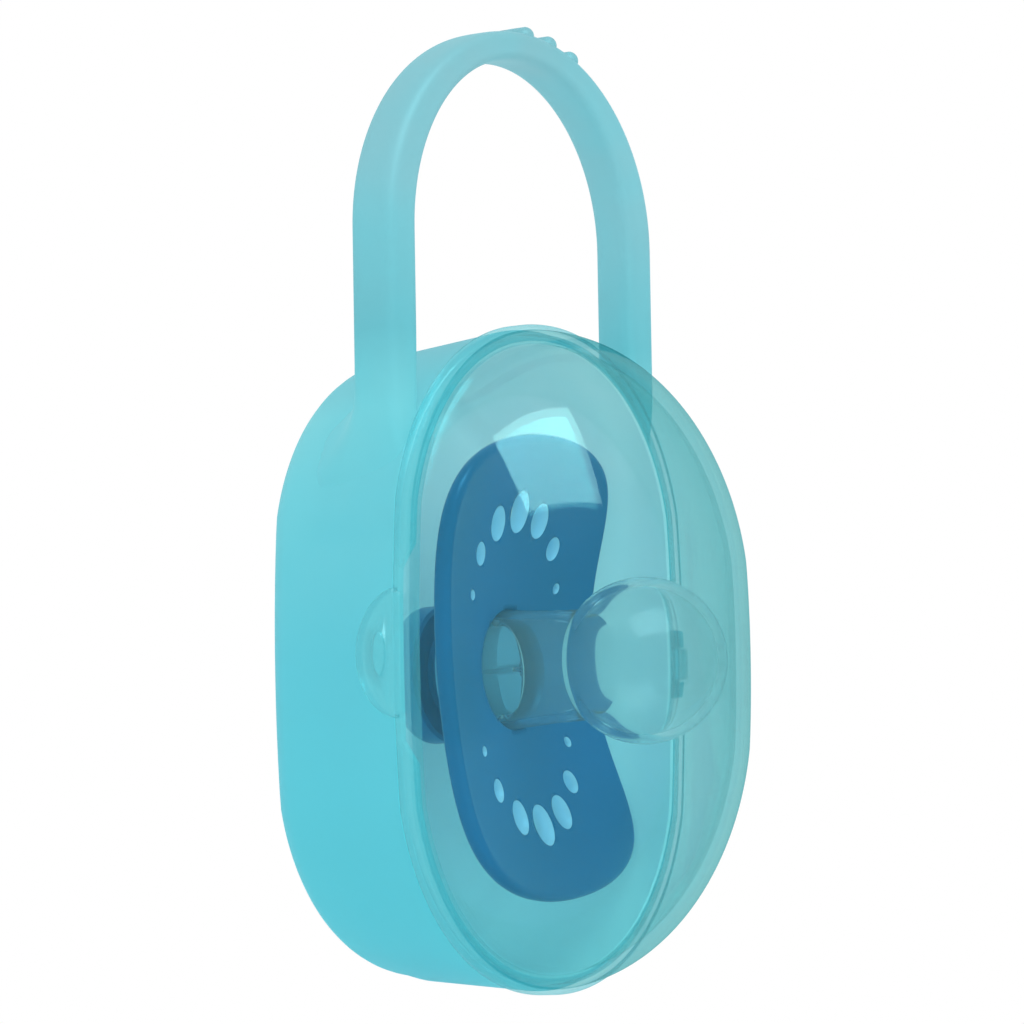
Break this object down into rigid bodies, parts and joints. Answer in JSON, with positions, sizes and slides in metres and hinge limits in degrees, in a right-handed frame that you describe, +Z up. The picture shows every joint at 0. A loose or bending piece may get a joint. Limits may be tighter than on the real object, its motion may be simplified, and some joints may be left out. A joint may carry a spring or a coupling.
{
  "type": "pacifier sterilizer case",
  "caption": "Oval carrying and sterilizing case for a pacifier, with a clear domed cover on a side hinge, a half-round opening tab and an arched carry handle, holding a pacifier.",
  "frame": {"origin": "centre of the flat back of the rear shell, on its outer face", "axes": "+Z up towards the carry handle, +Y out of the flat back, so the domed cover faces -Y; +X is the hinge side and -X the side of the opening tab"},
  "size_m": [0.0557, 0.0518, 0.121],
  "materials": {
    "shell": "frosted turquoise polypropylene",
    "cover": "clear glossy turquoise polypropylene",
    "shield": "glossy moulded blue plastic",
    "silicone": "clear soft silicone",
    "plug": "pale translucent plastic"
  },
  "bodies": {
    "case": {"rear_shell": "shell", "carry_handle": "shell", "hinge_pin": "shell", "pacifier_shield": "shield", "pacifier_teat": "silicone", "teat_plug": "plug", "pacifier_knob": "shield"},
    "cover": {"front_cover": "cover"}
  },
  "joints": [
    {"name": "cover_hinge", "type": "hinge", "parent": "case", "child": "cover", "pos_m": [0.0273, -0.024, 0], "axis": [0, 0, 1], "range_deg": [0, 165]}
  ]
}
